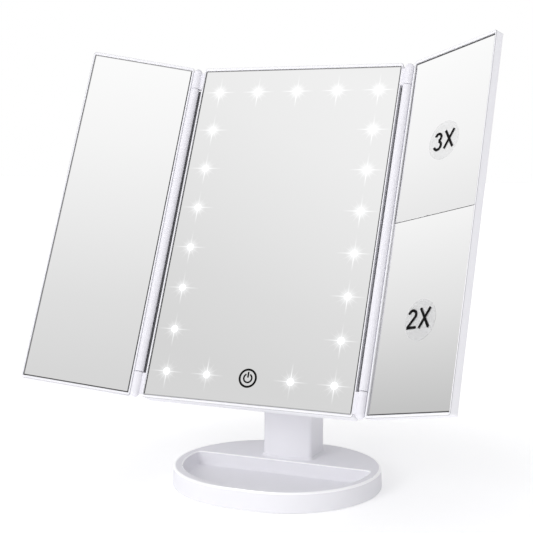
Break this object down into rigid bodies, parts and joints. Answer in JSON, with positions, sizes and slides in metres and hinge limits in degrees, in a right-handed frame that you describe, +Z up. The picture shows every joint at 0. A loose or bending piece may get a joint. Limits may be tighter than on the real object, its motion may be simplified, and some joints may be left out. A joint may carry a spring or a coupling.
{
  "type": "lighted vanity mirror",
  "caption": "Folding table-top vanity mirror with lights behind the centre glass, two folding wing mirrors with magnifying panes, and a tilting neck on an oval tray base.",
  "frame": {"origin": "on the table, under the middle of the oval base", "axes": "+Z up, the mirrors face -Y, +X is to the right of a person looking into the mirror"},
  "size_m": [0.2984, 0.1564, 0.3011],
  "materials": {
    "white_shell": "glossy moulded plastic",
    "mirror_glass": "silvered polished glass",
    "light_window": "frosted, lit",
    "led_chip": "moulded lamp chip",
    "led_board": "white solder mask",
    "circuit_board": "green solder mask",
    "black_part": "moulded black",
    "black_print": "printed ink",
    "holder_plastic": "moulded black",
    "foam": "closed-cell foam tape",
    "inner_plate": "moulded",
    "steel": "zinc plated",
    "pin_steel": "drawn steel",
    "copper_pad": "bare metal",
    "cell_sleeve": "plain dry-cell sleeve",
    "wire_jacket": "insulated wire",
    "bush_plastic": "natural acetal",
    "friction_pad": "hard friction washer",
    "mat_rubber": "soft non-slip sheet",
    "clear_label": "translucent static film"
  },
  "bodies": {
    "stand": {"base_shell": "white_shell", "base_plate": "white_shell", "base_mat": "mat_rubber", "base_screws": "steel", "neck_column": "white_shell", "neck_back_cover": "white_shell", "neck_cover_screws": "steel", "neck_foot_screws": "steel", "axle_bush": "bush_plastic"},
    "head": {"center_bezel": "white_shell", "center_mirror": "mirror_glass", "led_windows": "light_window", "led_chips": "led_chip", "light_board": "led_board", "mirror_pads": "foam", "chassis_plate": "inner_plate", "touch_sensor": "copper_pad", "touch_symbol": "black_print", "control_board": "circuit_board", "control_parts": "black_part", "usb_socket": "steel", "wiring": "wire_jacket", "rear_cover": "white_shell", "rear_screws": "steel", "battery_holder": "holder_plastic", "battery_cells": "cell_sleeve", "battery_contacts": "steel", "tilt_bracket": "white_shell", "bracket_screws": "steel", "tilt_bolt": "steel", "tilt_nut": "steel", "friction_washers": "friction_pad", "axle_caps": "white_shell", "left_hinge_pins": "pin_steel", "right_hinge_pins": "pin_steel"},
    "battery_lid": {"battery_cover": "white_shell"},
    "left_wing": {"left_wing_frame": "white_shell", "left_wing_mirror": "mirror_glass", "left_wing_pads": "foam", "left_wing_back": "white_shell"},
    "right_wing": {"right_wing_frame": "white_shell", "mirror_3x": "mirror_glass", "mirror_2x": "mirror_glass", "right_wing_pads": "foam", "right_wing_back": "white_shell", "label_3x": "clear_label", "label_2x": "clear_label", "label_3x_mark": "black_print", "label_2x_mark": "black_print"}
  },
  "joints": [
    {"name": "head_tilt", "type": "hinge", "parent": "stand", "child": "head", "pos_m": [0, 0.03, 0.168], "axis": [-1, 0, 0], "range_deg": [-26, 66]},
    {"name": "left_fold", "type": "hinge", "parent": "head", "child": "left_wing", "pos_m": [-0.0788, -0.0073, 0.17519], "axis": [0, 0.4067, 0.9135], "range_deg": [-24, 156]},
    {"name": "right_fold", "type": "hinge", "parent": "head", "child": "right_wing", "pos_m": [0.0788, -0.0073, 0.17519], "axis": [0, -0.4067, -0.9135], "range_deg": [-32, 148]},
    {"name": "lid_slide", "type": "slide", "parent": "head", "child": "battery_lid", "axis": [0, 0.4067, 0.9135], "range_m": [0, 0.055]}
  ]
}
